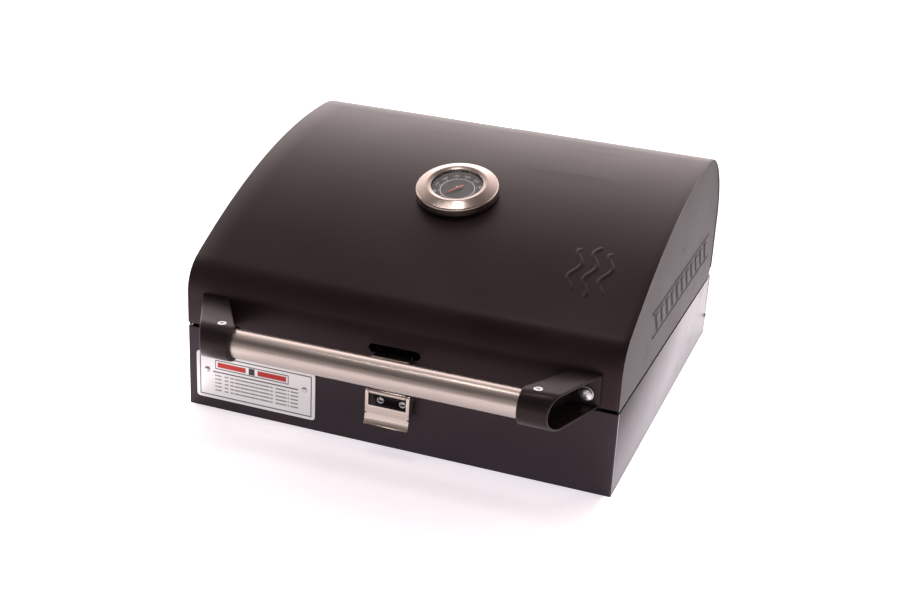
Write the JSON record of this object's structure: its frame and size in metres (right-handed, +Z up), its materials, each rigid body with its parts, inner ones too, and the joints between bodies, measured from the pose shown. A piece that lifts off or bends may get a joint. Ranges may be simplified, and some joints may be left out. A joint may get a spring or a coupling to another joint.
{
  "type": "stove-top barbecue box",
  "caption": "Portable stove-top barbecue box with an open-bottomed sheet-steel base, curved hinged lid, tube handle, dial thermometer and front draw latch.",
  "frame": {"origin": "on the surface the box stands on, at the middle of its bounding box's length and width", "axes": "+Z up, -Y towards the front (handle, latch and rating plate), +X towards the right when facing the front"},
  "size_m": [0.4134, 0.4496, 0.2164],
  "materials": {
    "black_paint": "satin heat-proof black paint",
    "bracket_black": "satin black cast, fine skin",
    "brushed_stainless": "brushed",
    "zinc_plate": "bright zinc plate",
    "cast_iron": "seasoned, matt",
    "raw_steel": "mill finish",
    "plate_aluminium": "satin, pale",
    "gasket": "matt black",
    "dial_face": "matt dark grey with white marks",
    "lens_glass": "clear",
    "pointer_red": "satin red"
  },
  "bodies": {
    "base_body": {"base_front_panel": "black_paint", "base_rear_panel": "black_paint", "base_left_panel": "black_paint", "base_right_panel": "black_paint", "latch_plate": "brushed_stainless", "latch_screw_left": "zinc_plate", "latch_screw_right": "zinc_plate", "label_rivet_left": "zinc_plate", "label_rivet_right": "zinc_plate", "rear_rivet_left": "zinc_plate", "rear_rivet_right": "zinc_plate", "base_hinge_leaf_left": "zinc_plate", "base_hinge_leaf_right": "zinc_plate", "hinge_pin_left": "zinc_plate", "hinge_pin_right": "zinc_plate", "grate_left": "cast_iron", "grate_right": "cast_iron", "grate_ledge_front": "raw_steel", "grate_ledge_rear": "raw_steel", "diffuser_ledge_front": "raw_steel", "diffuser_ledge_rear": "raw_steel", "heat_diffuser_1": "raw_steel", "heat_diffuser_2": "raw_steel", "heat_diffuser_3": "raw_steel", "heat_diffuser_4": "raw_steel", "label_plate": "plate_aluminium"},
    "lid_body": {"lid_skin": "black_paint", "lid_end_left": "black_paint", "lid_end_right": "black_paint", "lid_hinge_leaf_left": "zinc_plate", "lid_hinge_leaf_right": "zinc_plate", "handle_tube": "brushed_stainless", "handle_bracket_left": "bracket_black", "handle_bracket_right": "bracket_black", "bracket_screw_left": "zinc_plate", "bracket_screw_right": "zinc_plate", "bracket_washer_left": "zinc_plate", "bracket_washer_right": "zinc_plate", "bracket_nut_left": "zinc_plate", "bracket_nut_right": "zinc_plate", "handle_screw_left": "zinc_plate", "handle_screw_right": "zinc_plate", "thermometer_gasket": "gasket", "thermometer_bezel": "brushed_stainless", "thermometer_case": "zinc_plate", "thermometer_dial": "dial_face", "thermometer_lens": "lens_glass", "thermometer_stem": "brushed_stainless", "thermometer_nut": "zinc_plate", "bimetal_coil": "brushed_stainless"},
    "lever_body": {"latch_lever": "brushed_stainless", "latch_lever_pin": "brushed_stainless"},
    "claw_body": {"latch_claw": "brushed_stainless", "latch_claw_pin": "brushed_stainless"},
    "pointer_body": {"pointer": "pointer_red", "pointer_spindle": "brushed_stainless"}
  },
  "joints": [
    {"name": "lid_hinge", "type": "hinge", "parent": "base_body", "child": "lid_body", "pos_m": [0, 0.22165, 0.07], "axis": [-1, 0, 0], "range_deg": [0, 100]},
    {"name": "latch_lever_pivot", "type": "hinge", "parent": "base_body", "child": "lever_body", "pos_m": [0, -0.16835, 0.061], "axis": [-1, 0, 0], "range_deg": [0, 110]},
    {"name": "latch_claw_pivot", "type": "hinge", "parent": "lever_body", "child": "claw_body", "pos_m": [0, -0.17435, 0.059], "axis": [-1, 0, 0], "range_deg": [-132, 0]},
    {"name": "pointer_turn", "type": "hinge", "parent": "lid_body", "child": "pointer_body", "pos_m": [0, -0.0173, 0.19582], "axis": [0, 0.2757, -0.9612], "range_deg": [0, 260]}
  ],
  "couplings": [
    {"joint": "latch_claw_pivot", "follows": "latch_lever_pivot", "ratio": -1.2}
  ]
}
